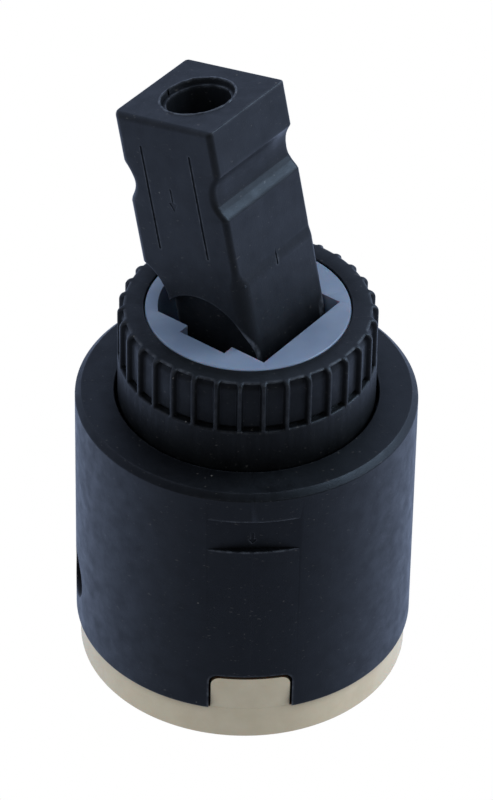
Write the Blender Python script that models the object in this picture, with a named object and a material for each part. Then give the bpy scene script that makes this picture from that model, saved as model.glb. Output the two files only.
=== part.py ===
"""Single-lever ceramic-disc valve cartridge, 25 mm class.

Metres, +Z up. The origin is on the axis, at the foot of the locating pegs, and the key tab points to -Y.
Heights named in the tables below are measured from the base's seating face, PEG_LENGTH above the origin.
Rotor and lever have their own frames: +X along the lever's tilt direction, +Y along the pivot pin.
"""
import bpy
import bmesh
from math import asin, cos, degrees, pi, radians, sin, sqrt
from mathutils import Euler, Matrix, Vector

MM = 0.001

# Driving dimensions, in millimetres and degrees
BODY_RADIUS = 12.5
PEG_LENGTH = 1.5
BASE_BAND = 2.7                # visible height of the base below the housing
SHOULDER_TOP = 23.03
ROTOR_TOP = 30.5
COLLAR_RADIUS = 9.4
BOSS_RADIUS = 7.43             # pale boss of the rotor inside the collar
PIVOT_HEIGHT = 25.5
LEVER_LENGTH = 21.85           # pivot to top face
LEVER_WIDTH = 8.9              # across the two clip grooves
LEVER_DEPTH = 8.6              # along the pin
ARM_LENGTH = 8.5               # pivot to the centre of the lever's round tip
ROTOR_YAW = -38.9              # the lever's tilt direction, measured from +X
LEVER_TILT = 12.6              # lean of the lever away from its tilt direction
FLUTE_COUNT = 34
FLUTE_TURN = -3.2              # where the first ridge stands, from the tilt direction

FIT_GAP = 0.07                 # between round pieces that turn or sit in one another

# Housing
BORE_LOWER = 11.35
BORE_UPPER = 10.7
BORE_STEP = 8.7
MOUTH_RADIUS = 9.6
SHOULDER_UNDER = 21.3
SHOULDER_CHAMFER = 0.45
KEY_WIDTH = 5.75
KEY_TOP = 5.5
KEY_CORNER = 0.6
KEY_GAP = 0.15
KEY_HALF_DEPTH = 1.4
WINDOW_RADIUS = 1.8
WINDOW_HEIGHT = 6.6
WINDOW_YAW = 6.4               # the two snap windows, measured from +X
FACET_WIDTH = 6.7
FACET_LOW, FACET_HIGH = 17.9, 19.7
STOP_LOW, STOP_HIGH = 15.8, 17.8
STOP_HALF_ANGLE = 10.0
TURN_RANGE = 104.0

# Base, ports and seals
BASE_RADIUS = 12.35
SPIGOT_RADIUS = 11.2
DECK = 7.2
RIM_TOP = 8.3
RIM_RADIUS = 10.45
PORT_RADIUS = 2.3
PORT_CIRCLE = 6.4
PORT_ANGLES = {"outlet": -90.0, "right": 30.0, "left": 150.0}
POCKET_RADIUS = 3.85
POCKET_DEPTH = 1.4
SEAL_INNER = 2.55
SEAL_OUTER = 3.75
SEAL_PROUD = 0.35
PEG_CIRCLE = 9.2
PEGS = {-30.0: 1.45, -150.0: 1.45, 90.0: 1.05}     # angle: radius

# Disc stack
FIXED_DISC = (7.4, 10.2)
MOVING_DISC = (10.3, 12.9)
CARRIER = (13.1, 14.9)
SOCKET_TOP = 18.4
FIXED_DISC_RADIUS = 10.2
MOVING_DISC_RADIUS = 7.6
CARRIER_RADIUS = 8.6
CARRIER_FLAT = 7.85            # half distance between the carrier's guided flats
SOCKET_OFFSET = 1.3            # socket centre from the carrier's centre
TIP_RADIUS = 1.5
CAP_RADIUS = 1.9
SOCKET_HALF = 2.1
TOWER_HALF = 3.4
CHAMBER = (8.4, 5.2)           # length and width of the mixing chamber

# Rotor
FLANGE_RADIUS = 10.45
FLANGE = (15.6, 20.5)
STOP_RELIEF_RADIUS = 9.75
SLOT_HALF_DEPTH = 4.5
SLOT_FRONT = 4.85
SLOT_ARC = 6.5
SLOT_FLOOR = 24.0
THROAT_FLOOR = 18.5
KEYWAY = (4.0, 0.9, 26.9)       # width, depth, floor height
PIN_RADIUS = 1.5
PIN_HALF_LENGTH = 7.1
RAIL = (8.0, 9.5, 4.3)         # inner face, outer face, half length
RAIL_LOW = 13.4
O_RING = (9.98, 0.48)          # ring radius and section radius
O_RING_HEIGHT = 19.2

# Lever details, measured down from its top face
FRONT_GROOVE = ((3.55, 0.0), (4.05, 0.36), (4.6, 0.64), (5.5, 0.77), (6.07, 0.69), (6.5, 0.48), (7.05, 0.0))
BACK_GROOVE = ((3.85, 0.0), (4.25, 0.23), (4.9, 0.52), (5.6, 0.65), (6.1, 0.54), (6.7, 0.23), (7.1, 0.0))
STEP_DOWN = 12.1
STEP_OUT = 0.18
STEP_HALF = 0.5
DRAFT = 0.05
SCREW_BORE = (2.65, 1.0, 2.4, 9.0)         # counterbore radius and depth, bore radius and depth
ARCH_RECESS = (0.2, 3.4, 4.35, 0.95)       # centre across and above the pivot, radius, depth

ROUND = 64                     # segments of the large round pieces
SMALL = 20                     # segments of the small round pieces


def srgb(red, green, blue):
    """Linear colour of 8-bit screen values."""
    def linear(value):
        value /= 255
        return value / 12.92 if value <= 0.04045 else ((value + 0.055) / 1.055) ** 2.4
    return (linear(red), linear(green), linear(blue), 1.0)


COLOURS = {
    "black_plastic": (srgb(34, 37, 43), 0.5, 0.0),
    "collar_plastic": (srgb(30, 32, 38), 0.55, 0.0),
    "lever_plastic": (srgb(38, 43, 51), 0.5, 0.0),
    "beige_plastic": (srgb(196, 188, 168), 0.5, 0.0),
    "pale_acetal": (srgb(150, 166, 190), 0.35, 0.0),
    "ceramic": (srgb(236, 232, 224), 0.15, 0.0),
    "rubber": (srgb(30, 30, 31), 0.8, 0.0),
    "steel": (srgb(190, 192, 196), 0.25, 1.0),
    "ptfe": (srgb(232, 232, 228), 0.4, 0.0),
}


def material(node, kind):
    """A Principled material of the node's own."""
    colour, roughness, metallic = COLOURS[kind]
    made = bpy.data.materials.new(node)
    made.use_nodes = True
    shader = made.node_tree.nodes["Principled BSDF"]
    shader.inputs["Base Color"].default_value = colour
    shader.inputs["Roughness"].default_value = roughness
    shader.inputs["Metallic"].default_value = metallic
    made.diffuse_color = colour
    return made


# ---------------------------------------------------------------- solids

def add_object(name, mesh_data, sharp=35.0):
    """A scene object from a bmesh, in millimetres, turned to metres."""
    bmesh.ops.recalc_face_normals(mesh_data, faces=mesh_data.faces)
    bmesh.ops.scale(mesh_data, vec=(MM, MM, MM), verts=mesh_data.verts)
    mesh = bpy.data.meshes.new(name)
    mesh_data.to_mesh(mesh)
    mesh_data.free()
    mesh.shade_smooth()
    mesh.set_sharp_from_angle(angle=radians(sharp))
    made = bpy.data.objects.new(name, mesh)
    bpy.context.scene.collection.objects.link(made)
    return made


def turned(name, profile, segments=ROUND):
    """A solid of revolution about Z from an outline of (radius, height) points.

    An outline that starts and ends on the axis is closed there with two flat caps.
    """
    shell = bmesh.new()
    capped = profile[0][0] == 0
    rings = []
    for radius, height in profile:
        if radius > 0:
            angles = [2 * pi * step / segments for step in range(segments)]
            rings.append([shell.verts.new((radius * cos(a), radius * sin(a), height)) for a in angles])
    following_rings = rings[1:] if capped else rings[1:] + rings[:1]
    for ring, following in zip(rings, following_rings):
        for step in range(segments):
            after = (step + 1) % segments
            shell.faces.new((ring[step], ring[after], following[after], following[step]))
    if capped:
        shell.faces.new(rings[0])
        shell.faces.new(rings[-1])
    return add_object(name, shell)


def prism(name, outline, low, high):
    """An upright prism over a plan outline."""
    block = bmesh.new()
    floor = [block.verts.new((x, y, low)) for x, y in outline]
    roof = [block.verts.new((x, y, high)) for x, y in outline]
    block.faces.new(floor)
    block.faces.new(roof)
    for step in range(len(outline)):
        after = (step + 1) % len(outline)
        block.faces.new((floor[step], floor[after], roof[after], roof[step]))
    return add_object(name, block)


def side_prism(name, outline, half_depth):
    """A prism along Y over an outline of (x, z) points."""
    block = bmesh.new()
    near = [block.verts.new((x, -half_depth, z)) for x, z in outline]
    far = [block.verts.new((x, half_depth, z)) for x, z in outline]
    block.faces.new(near)
    block.faces.new(far)
    for step in range(len(outline)):
        after = (step + 1) % len(outline)
        block.faces.new((near[step], near[after], far[after], far[step]))
    return add_object(name, block)


def box(name, low, high):
    """A box between two corners."""
    outline = [(low[0], low[1]), (high[0], low[1]), (high[0], high[1]), (low[0], high[1])]
    return prism(name, outline, low[2], high[2])


def rod(name, radius, start, end, segments=SMALL):
    """A round rod between two points."""
    start, end = Vector(start), Vector(end)
    made = turned(name, [(0, 0), (radius, 0), (radius, (end - start).length), (0, (end - start).length)],
                  segments)
    turn = Vector((0, 0, 1)).rotation_difference(end - start).to_matrix().to_4x4()
    made.data.transform(Matrix.Translation(start * MM) @ turn)
    return made


def boolean(target, tool, operation="DIFFERENCE"):
    """Cut, join or intersect the target with the tool, which is used up."""
    step = target.modifiers.new("boolean", "BOOLEAN")
    step.operation = operation
    step.solver = "EXACT"
    step.object = tool
    graph = bpy.context.evaluated_depsgraph_get()
    result = bpy.data.meshes.new_from_object(target.evaluated_get(graph))
    target.modifiers.clear()
    target.data = result
    bpy.data.objects.remove(tool)
    return target


def finish(node, kind, parent):
    """Give a node its material and its place under its frame."""
    node.data.materials.clear()
    node.data.materials.append(material(node.name, kind))
    node.data.shade_smooth()
    node.data.set_sharp_from_angle(angle=radians(35))
    node.parent = parent
    return node


def frame(name, height, yaw=0.0, tilt=0.0, parent=None):
    """An empty that carries the pieces of one frame."""
    empty = bpy.data.objects.new(name, None)
    bpy.context.scene.collection.objects.link(empty)
    empty.location = (0, 0, height * MM)
    empty.rotation_euler = Euler((0, radians(tilt), radians(yaw)))
    empty.parent = parent
    return empty


# ---------------------------------------------------------------- outlines

def arc(centre, radius, start, end, steps):
    """Points along an arc, both ends included, in degrees."""
    points = []
    for step in range(steps + 1):
        angle = radians(start + (end - start) * step / steps)
        points.append((centre[0] + radius * cos(angle), centre[1] + radius * sin(angle)))
    return points


def oval(length, width, steps=8, centre=(0.0, 0.0)):
    """An outline with straight sides along X and round ends."""
    reach = (length - width) / 2
    right = arc((centre[0] + reach, centre[1]), width / 2, -90, 90, steps)
    left = arc((centre[0] - reach, centre[1]), width / 2, 90, 270, steps)
    return right + left


def kidney(angle, spread, inner, outer, steps=6):
    """A curved slot round the axis with square ends."""
    outside = arc((0, 0), outer, angle - spread, angle + spread, steps)
    inside = arc((0, 0), inner, angle + spread, angle - spread, steps)
    return outside + inside


def key_outline(half_width, low, high):
    """The key tab's front outline, with rounded upper corners."""
    inset = half_width - KEY_CORNER
    right = arc((inset, high - KEY_CORNER), KEY_CORNER, 0, 90, 4)
    left = arc((-inset, high - KEY_CORNER), KEY_CORNER, 90, 180, 4)
    return [(-half_width, low), (half_width, low)] + right + left


def on_circle(radius, angle):
    return (radius * cos(radians(angle)), radius * sin(radians(angle)))


# ---------------------------------------------------------------- fixed pieces

def make_housing(parent):
    top_edge = BODY_RADIUS - SHOULDER_CHAMFER
    shell = turned("housing", [
        (BORE_LOWER, BASE_BAND), (BODY_RADIUS - 0.12, BASE_BAND), (BODY_RADIUS, BASE_BAND + 0.12),
        (BODY_RADIUS, SHOULDER_TOP - 0.42), (top_edge, SHOULDER_TOP),
        (MOUTH_RADIUS + 0.1, SHOULDER_TOP), (MOUTH_RADIUS, SHOULDER_TOP - 0.1),
        (MOUTH_RADIUS, SHOULDER_UNDER), (BORE_UPPER, SHOULDER_UNDER),
        (BORE_UPPER, BORE_STEP + 0.4), (BORE_LOWER, BORE_STEP)])
    notch = side_prism("notch", key_outline(KEY_WIDTH / 2 + KEY_GAP, BASE_BAND - 1, KEY_TOP + KEY_GAP), 2)
    notch.data.transform(Matrix.Translation((0, -BODY_RADIUS * MM, 0)))
    boolean(shell, notch)
    for turn in (WINDOW_YAW, WINDOW_YAW + 180):
        near = Vector((*on_circle(BORE_LOWER - 1.5, turn), WINDOW_HEIGHT))
        far = Vector((*on_circle(BODY_RADIUS + 1, turn), WINDOW_HEIGHT))
        boolean(shell, rod("window", WINDOW_RADIUS, near, far))
    facet_depth = sqrt(BODY_RADIUS ** 2 - (FACET_WIDTH / 2) ** 2)
    boolean(shell, box("facet", (-FACET_WIDTH, -BODY_RADIUS - 1, FACET_LOW),
                       (FACET_WIDTH, -facet_depth, FACET_HIGH)))
    rib = prism("rib", kidney(90, STOP_HALF_ANGLE, BORE_UPPER - 0.75, BORE_UPPER + 0.4),
                STOP_LOW, STOP_HIGH)
    boolean(shell, rib, "UNION")
    finish(shell, "black_plastic", parent)


def make_base(parent):
    body = turned("base", [
        (0, 0), (BASE_RADIUS - 0.15, 0), (BASE_RADIUS, 0.15), (BASE_RADIUS, BASE_BAND - 0.1),
        (SPIGOT_RADIUS, BASE_BAND - 0.1), (SPIGOT_RADIUS, RIM_TOP), (RIM_RADIUS, RIM_TOP),
        (RIM_RADIUS, DECK), (0, DECK)])
    key_radius = BASE_RADIUS - 0.03
    key = side_prism("key", key_outline(KEY_WIDTH / 2, BASE_BAND - 0.8, KEY_TOP), KEY_HALF_DEPTH)
    key.data.transform(Matrix.Translation((0, (1.82 - KEY_HALF_DEPTH - key_radius) * MM, 0)))
    trim = turned("trim", [(9.5, 0.5), (key_radius, 0.5), (key_radius, 9), (9.5, 9)])
    boolean(key, trim, "INTERSECT")
    boolean(body, key, "UNION")
    for turn in (WINDOW_YAW, WINDOW_YAW + 180):
        nose = rod("nose", WINDOW_RADIUS - 0.25, (*on_circle(SPIGOT_RADIUS - 0.6, turn), WINDOW_HEIGHT),
                   (*on_circle(BODY_RADIUS - 0.6, turn), WINDOW_HEIGHT))
        boolean(body, nose, "UNION")
    for turn in (0, 180):
        lug = prism("lug", kidney(turn, 6, RIM_RADIUS - 0.85, RIM_RADIUS + 0.3, 2),
                    DECK - 0.3, RIM_TOP - 0.1)
        boolean(body, lug, "UNION")
    for turn, radius in PEGS.items():
        x, y = on_circle(PEG_CIRCLE, turn)
        peg = turned("peg", [(0, -PEG_LENGTH), (radius - 0.25, -PEG_LENGTH), (radius, 0.25 - PEG_LENGTH),
                             (radius, 0.3), (0, 0.3)], 16)
        peg.data.transform(Matrix.Translation((x * MM, y * MM, 0)))
        boolean(body, peg, "UNION")
    for turn in PORT_ANGLES.values():
        x, y = on_circle(PORT_CIRCLE, turn)
        bore = turned("bore", [
            (0, -1), (POCKET_RADIUS, -1), (POCKET_RADIUS, POCKET_DEPTH), (PORT_RADIUS, POCKET_DEPTH),
            (PORT_RADIUS, DECK - POCKET_DEPTH), (POCKET_RADIUS, DECK - POCKET_DEPTH),
            (POCKET_RADIUS, DECK + 1), (0, DECK + 1)], SMALL)
        bore.data.transform(Matrix.Translation((x * MM, y * MM, 0)))
        boolean(body, bore)
    finish(body, "beige_plastic", parent)


def make_seal(name, angle, low, high, parent):
    """A flat-sided port seal with rounded lips at both ends."""
    lip = 0.35
    middle = (SEAL_INNER + SEAL_OUTER) / 2
    ring = turned(name, [
        (middle, low), (SEAL_OUTER, low + lip), (SEAL_OUTER, high - lip),
        (middle, high), (SEAL_INNER, high - lip), (SEAL_INNER, low + lip)], 18)
    x, y = on_circle(PORT_CIRCLE, angle)
    ring.data.transform(Matrix.Translation((x * MM, y * MM, 0)))
    finish(ring, "rubber", parent)


def make_fixed_disc(parent):
    low, high = FIXED_DISC
    disc = turned("fixed_disc", [(0, low), (FIXED_DISC_RADIUS, low), (FIXED_DISC_RADIUS, high), (0, high)])
    for turn in (0, 180):
        boolean(disc, prism("key", kidney(turn, 7.5, RIM_RADIUS - 1.1, RIM_RADIUS + 1, 2),
                            low - 1, high + 1))
    for name, turn in PORT_ANGLES.items():
        if name == "outlet":
            x, y = on_circle(PORT_CIRCLE - 0.6, turn)
            boolean(disc, rod("port", PORT_RADIUS - 0.1, (x, y, low - 1), (x, y, high + 1)))
        else:
            boolean(disc, prism("port", kidney(turn, 17, PORT_CIRCLE - 1.3, PORT_CIRCLE + 1.3),
                                low - 1, high + 1))
    finish(disc, "ceramic", parent)


def make_thrust_ring(parent):
    low, high = FLANGE[1] + 0.1, SHOULDER_UNDER - 0.1
    ring = turned("thrust_ring", [(COLLAR_RADIUS + 0.2, low), (BORE_UPPER - 0.3, low),
                                  (BORE_UPPER - 0.3, high), (COLLAR_RADIUS + 0.2, high)], 48)
    finish(ring, "collar_plastic", parent)


# ---------------------------------------------------------------- rotor group

def slot_outline(front, arc_radius, steps=8):
    """The lever slot: flat on three sides, round on the side away from the tilt direction."""
    half = SLOT_HALF_DEPTH
    sweep = degrees(asin(half / arc_radius))
    return [(front, -half), (front, half)] + arc((0, 0), arc_radius, 180 - sweep, 180 + sweep, steps)


def make_rotor(parent):
    low, high = FLANGE
    groove = O_RING[1] + 0.12
    groove_floor = O_RING[0] - O_RING[1] - 0.08
    body = turned("rotor", [
        (0, low), (FLANGE_RADIUS, low), (FLANGE_RADIUS, O_RING_HEIGHT - groove),
        (groove_floor, O_RING_HEIGHT - groove), (groove_floor, O_RING_HEIGHT + groove),
        (FLANGE_RADIUS, O_RING_HEIGHT + groove), (FLANGE_RADIUS, high), (BOSS_RADIUS, high),
        (BOSS_RADIUS, ROTOR_TOP - 0.1), (BOSS_RADIUS - 0.1, ROTOR_TOP), (0, ROTOR_TOP)], 48)
    half_sweep = TURN_RANGE / 2 + STOP_HALF_ANGLE + 0.5
    relief = prism("relief", kidney(180, half_sweep, STOP_RELIEF_RADIUS, FLANGE_RADIUS + 1, 24),
                   low - 1, STOP_HIGH + 0.2)
    boolean(body, relief)
    inner, outer, half_length = RAIL
    for side in (-1, 1):
        edges = sorted((side * inner, side * outer))
        boolean(body, box("rail", (-half_length, edges[0], RAIL_LOW), (half_length, edges[1], low + 0.4)),
                "UNION")
    boolean(body, prism("slot", slot_outline(SLOT_FRONT, SLOT_ARC), SLOT_FLOOR, ROTOR_TOP + 1))
    boolean(body, box("throat", (-SLOT_FRONT, -SLOT_HALF_DEPTH, THROAT_FLOOR),
                      (SLOT_FRONT, SLOT_HALF_DEPTH, SLOT_FLOOR + 0.2)))
    boolean(body, box("pocket", (-TOWER_HALF - 0.7, -SLOT_HALF_DEPTH, low - 1),
                      (TOWER_HALF + 3.3, SLOT_HALF_DEPTH, SOCKET_TOP + 0.5)))
    width, depth, floor = KEYWAY
    boolean(body, box("keyway", (-width / 2, -SLOT_HALF_DEPTH - depth, floor),
                      (width / 2, SLOT_HALF_DEPTH + depth, ROTOR_TOP + 1)))
    boolean(body, rod("pin_bore", PIN_RADIUS + FIT_GAP, (0, -9, PIVOT_HEIGHT), (0, 9, PIVOT_HEIGHT), 24))
    finish(body, "pale_acetal", parent)


def make_collar(parent):
    """The fluted collar: one ring of corners per level, swapped to the flute floor above the ledge."""
    low, high = FLANGE[1] + 0.2, ROTOR_TOP + 0.05
    ledge = 26.4
    floor = COLLAR_RADIUS - 0.4
    pitch = 2 * pi / FLUTE_COUNT
    ridge_half = 0.13 * pitch
    corner_angles = []
    for index in range(FLUTE_COUNT):
        for offset in (-ridge_half, ridge_half, 0.32 * pitch, 0.68 * pitch):
            corner_angles.append(radians(FLUTE_TURN) + index * pitch + offset)
    count = len(corner_angles)
    shell = bmesh.new()

    def ring(height, ridge_radius, flute_radius):
        made = []
        for index, angle in enumerate(corner_angles):
            radius = ridge_radius if index % 4 < 2 else flute_radius
            made.append(shell.verts.new((radius * cos(angle), radius * sin(angle), height)))
        return made

    bore = BOSS_RADIUS + FIT_GAP
    full = COLLAR_RADIUS
    rings = [
        ring(low, bore, bore), ring(low, full, full), ring(ledge - 0.02, full, full),
        ring(ledge, full, floor), ring(high - 0.4, full, floor),
        ring(high, full - 0.4, floor - 0.1), ring(high, bore, bore)]
    for current, following in zip(rings, rings[1:] + rings[:1]):
        for index in range(count):
            after = (index + 1) % count
            shell.faces.new((current[index], current[after], following[after], following[index]))
    finish(add_object("fluted_collar", shell), "collar_plastic", parent)


def make_pivot_pin(parent):
    reach, edge = PIN_HALF_LENGTH, 0.2
    pin = turned("pivot_pin", [(0, -reach), (PIN_RADIUS - edge, -reach), (PIN_RADIUS, edge - reach),
                               (PIN_RADIUS, reach - edge), (PIN_RADIUS - edge, reach), (0, reach)], 24)
    pin.data.transform(Matrix.Translation((0, 0, PIVOT_HEIGHT * MM)) @ Matrix.Rotation(pi / 2, 4, "X"))
    finish(pin, "steel", parent)


def make_rotor_o_ring(parent):
    radius, section = O_RING
    ring = turned("rotor_o_ring", arc((radius, O_RING_HEIGHT), section, 30, 330, 5), 40)
    finish(ring, "rubber", parent)


# ---------------------------------------------------------------- lever group

def lever_side():
    """The lever's outline across the tilt direction, pivot at the origin, in (x, z)."""
    top = LEVER_LENGTH
    half = LEVER_WIDTH / 2
    wide = half + DRAFT

    def groove(side, table):
        return [(side * (half + DRAFT * drop / STEP_DOWN - depth), top - drop) for drop, depth in table]

    block = wide + STEP_OUT
    right = groove(1, FRONT_GROOVE) + [
        (wide, top - STEP_DOWN + STEP_HALF), (block, top - STEP_DOWN - STEP_HALF), (block, 1.0), (2.7, -2.6)]
    cove_radius = 3.8
    cove_centre = (-6.5, 6.5)
    meet = degrees(asin((wide + cove_centre[0]) / cove_radius))
    cove = arc(cove_centre, cove_radius, 0, 90 + meet, 6)
    left = [(-2.7, -2.6)] + cove + list(reversed(groove(-1, BACK_GROOVE)))
    return [(half, top)] + right + left + [(-half, top)]


def make_lever(parent):
    body = side_prism("lever", lever_side(), LEVER_DEPTH / 2)
    neck_angle = degrees(asin(0.75))
    stem = turned("stem", [(0, -ARM_LENGTH - TIP_RADIUS)]
                  + arc((0, -ARM_LENGTH), TIP_RADIUS, -67.5, neck_angle, 6)
                  + [(1.9, -4.2), (2.1, -3.4), (2.1, -1.0), (0, -1.0)], SMALL)
    boolean(body, stem, "UNION")
    wide, deep, bore, depth = SCREW_BORE
    top = LEVER_LENGTH
    screw = turned("screw", [(0, top - depth - 1), (bore, top - depth), (bore, top - deep),
                             (wide, top - deep), (wide, top + 1), (0, top + 1)], SMALL)
    boolean(body, screw)
    across, rise, radius, depth = ARCH_RECESS
    arch = [(across - radius, -3.5), (across + radius, -3.5)] + arc((across, rise), radius, 0, 180, 12)
    for side in (-1, 1):
        recess = side_prism("recess", arch, depth)
        recess.data.transform(Matrix.Translation((0, side * LEVER_DEPTH / 2 * MM, 0)))
        boolean(body, recess)
    boolean(body, rod("pin_bore", PIN_RADIUS + FIT_GAP, (0, -6, 0), (0, 6, 0), 24))
    finish(body, "lever_plastic", parent)


def make_tip_cap(parent):
    """A thin cup over the lever's round tip, open at the top."""
    gap = 0.06
    outside = arc((0, -ARM_LENGTH), CAP_RADIUS, -67.5, 22.5, 4)
    inside = arc((0, -ARM_LENGTH), TIP_RADIUS + gap, 22.5, -67.5, 4)
    profile = [(0, -ARM_LENGTH - CAP_RADIUS)] + outside + inside + [(0, -ARM_LENGTH - TIP_RADIUS - gap)]
    finish(turned("tip_cap", profile, SMALL), "ptfe", parent)


# ---------------------------------------------------------------- disc group

def make_carrier(parent):
    low, high = CARRIER
    flat = CARRIER_FLAT
    sweep = degrees(asin(flat / CARRIER_RADIUS))
    outline = arc((0, 0), CARRIER_RADIUS, -sweep, sweep, 10)
    outline += arc((0, 0), CARRIER_RADIUS, 180 - sweep, 180 + sweep, 10)
    plate = prism("disc_carrier", outline, low, high)
    centre = SOCKET_OFFSET
    tower = box("tower", (centre - TOWER_HALF, -TOWER_HALF, high - 0.4),
                (centre + TOWER_HALF, TOWER_HALF, SOCKET_TOP))
    boolean(plate, tower, "UNION")
    half = SOCKET_HALF
    boolean(plate, box("socket", (centre - half, -half, high + 0.05), (centre + half, half, SOCKET_TOP + 1)))
    length, width = CHAMBER
    boolean(plate, prism("seat", oval(length + 2.2, width + 2.2), low - 1, low + 0.85))
    for side in (-1, 1):
        edges = sorted((side * (MOVING_DISC_RADIUS - 0.8), side * flat))
        boolean(plate, box("dog", (-1.2, edges[0], MOVING_DISC[0] + 0.9), (1.2, edges[1], low + 0.3)),
                "UNION")
    finish(plate, "beige_plastic", parent)


def make_chamber_gasket(parent):
    length, width = CHAMBER
    low, high = MOVING_DISC[1] + 0.05, CARRIER[0] + 0.78
    ring = prism("chamber_gasket", oval(length + 2.0, width + 2.0), low, high)
    boolean(ring, prism("inner", oval(length + 0.4, width + 0.4), low - 1, high + 1))
    finish(ring, "rubber", parent)


def make_moving_disc(parent):
    low, high = MOVING_DISC
    disc = turned("moving_disc", [(0, low), (MOVING_DISC_RADIUS, low), (MOVING_DISC_RADIUS, high), (0, high)],
                  60)
    boolean(disc, prism("chamber", oval(*CHAMBER), low - 1, high + 1))
    for side in (-1, 1):
        edges = sorted((side * (MOVING_DISC_RADIUS - 1.0), side * (MOVING_DISC_RADIUS + 1)))
        boolean(disc, box("notch", (-1.4, edges[0], low - 1), (1.4, edges[1], high + 1)))
    finish(disc, "ceramic", parent)


def make_silencer(parent):
    low, high = MOVING_DISC
    length, width = CHAMBER
    gap = 0.15
    insert = prism("silencer", oval(length - 2 * gap, width - 2 * gap), high - 0.9, high - 0.1)
    for x in (-2.6, -0.87, 0.87, 2.6):
        for y in (-1.0, 1.0):
            boolean(insert, rod("hole", 0.5, (x, y, low), (x, y, high + 1), 10))
    finish(insert, "ptfe", parent)


def main():
    for item in list(bpy.data.objects):
        bpy.data.objects.remove(item)
    body_frame = frame("body_frame", PEG_LENGTH)
    rotor_frame = frame("rotor_frame", PEG_LENGTH, yaw=ROTOR_YAW)
    lever_frame = frame("lever_frame", PIVOT_HEIGHT, tilt=-LEVER_TILT, parent=rotor_frame)
    disc_frame = frame("disc_frame", 0, parent=rotor_frame)
    disc_frame.location.x = (ARM_LENGTH * sin(radians(LEVER_TILT)) - SOCKET_OFFSET) * MM

    make_housing(body_frame)
    make_base(body_frame)
    for place, angle in PORT_ANGLES.items():
        make_seal("lower_seal_" + place, angle, -SEAL_PROUD, POCKET_DEPTH - 0.07, body_frame)
        make_seal("upper_seal_" + place, angle, DECK - POCKET_DEPTH + 0.07, FIXED_DISC[0] - 0.05, body_frame)
    make_fixed_disc(body_frame)
    make_thrust_ring(body_frame)

    make_rotor(rotor_frame)
    make_collar(rotor_frame)
    make_pivot_pin(rotor_frame)
    make_rotor_o_ring(rotor_frame)

    make_lever(lever_frame)
    make_tip_cap(lever_frame)

    make_carrier(disc_frame)
    make_chamber_gasket(disc_frame)
    make_moving_disc(disc_frame)
    make_silencer(disc_frame)


main()
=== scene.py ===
"""Looks of a single-lever ceramic-disc valve cartridge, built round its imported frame.

Shapes are made in millimetres in three local frames: the body's (z from the base's seating face), the rotor's
(the same heights, +X along the lever's tilt direction, +Y along the pivot pin) and the lever's (pivot at 0).
"""
import bpy
import bmesh
from math import asin, atan2, cos, degrees, radians, sin, sqrt, tan
from mathutils import Matrix, Vector, noise


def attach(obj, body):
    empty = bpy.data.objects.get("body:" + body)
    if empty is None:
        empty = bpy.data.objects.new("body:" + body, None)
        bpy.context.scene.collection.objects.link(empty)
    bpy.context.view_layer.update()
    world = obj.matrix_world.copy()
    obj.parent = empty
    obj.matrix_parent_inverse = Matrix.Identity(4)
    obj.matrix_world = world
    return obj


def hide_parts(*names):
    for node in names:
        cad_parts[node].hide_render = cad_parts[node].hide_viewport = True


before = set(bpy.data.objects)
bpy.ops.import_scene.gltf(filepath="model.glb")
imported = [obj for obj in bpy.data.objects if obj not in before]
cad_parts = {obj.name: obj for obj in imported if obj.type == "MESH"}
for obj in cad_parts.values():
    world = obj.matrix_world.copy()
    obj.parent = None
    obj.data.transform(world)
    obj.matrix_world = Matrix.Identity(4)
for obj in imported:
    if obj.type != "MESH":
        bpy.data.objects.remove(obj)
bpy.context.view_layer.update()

# ---------------------------------------------------------------- sizes, in millimetres and degrees
PEG_LENGTH = 1.5
ROTOR_YAW = -38.9
LEVER_TILT = 12.6
PIVOT_HEIGHT = 25.5

BODY_RADIUS = 12.5
BASE_RADIUS = 12.18
BASE_BAND = 2.7
BASE_UNDERSIDE = -0.2
SHOULDER_TOP = 23.03
MOUTH_RADIUS = 9.6
KEY_WIDTH, KEY_TOP, KEY_CORNER = 5.8, 5.7, 0.7
NOTCH_SIDE_GAP, NOTCH_TOP_GAP = 0.16, 0.26
FRONT = Matrix.Rotation(radians(1.1), 4, "Z")
WINDOW_YAW, WINDOW_HEIGHT, WINDOW_RADIUS = 6.4, 6.6, 1.8
FACET_WIDTH, FACET_LOW, FACET_HIGH = 6.7, 17.9, 20.7
PARTING_YAW = -88.8
ROTOR_TOP = 30.5
BOSS_RADIUS = 7.43
COLLAR_RADIUS = 9.4
FLUTE_FLOOR = 9.03
FLUTE_LEDGE = 26.4
FLUTE_COUNT = 34
FLUTE_TURN = -3.2
PORT_RADIUS, PORT_CIRCLE, POCKET_RADIUS, POCKET_DEPTH, DECK = 2.3, 6.4, 3.85, 1.4, 7.2
PORT_ANGLES = {"outlet": -90.0, "right": 30.0, "left": 150.0}
LEVER_TOP = 21.85
LEVER_WIDTH, LEVER_DEPTH = 8.9, 8.6
PIN_BORE = 1.57

MM = 0.001
FLOOR_DROP = 0.001                  # in metres
AO_SAMPLES = 6
TO_METRES = Matrix.Scale(MM, 4)
BODY_FRAME = TO_METRES @ Matrix.Translation((0, 0, PEG_LENGTH))
ROTOR_FRAME = BODY_FRAME @ Matrix.Rotation(radians(ROTOR_YAW), 4, "Z")
LEVER_FRAME = (ROTOR_FRAME @ Matrix.Translation((0, 0, PIVOT_HEIGHT))
               @ Matrix.Rotation(radians(-LEVER_TILT), 4, "Y"))


# ---------------------------------------------------------------- outlines

def smooth(value):
    value = min(max(value, 0.0), 1.0)
    return value * value * (3 - 2 * value)


def polar(radius, angle):
    return (radius * cos(radians(angle)), radius * sin(radians(angle)))


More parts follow.
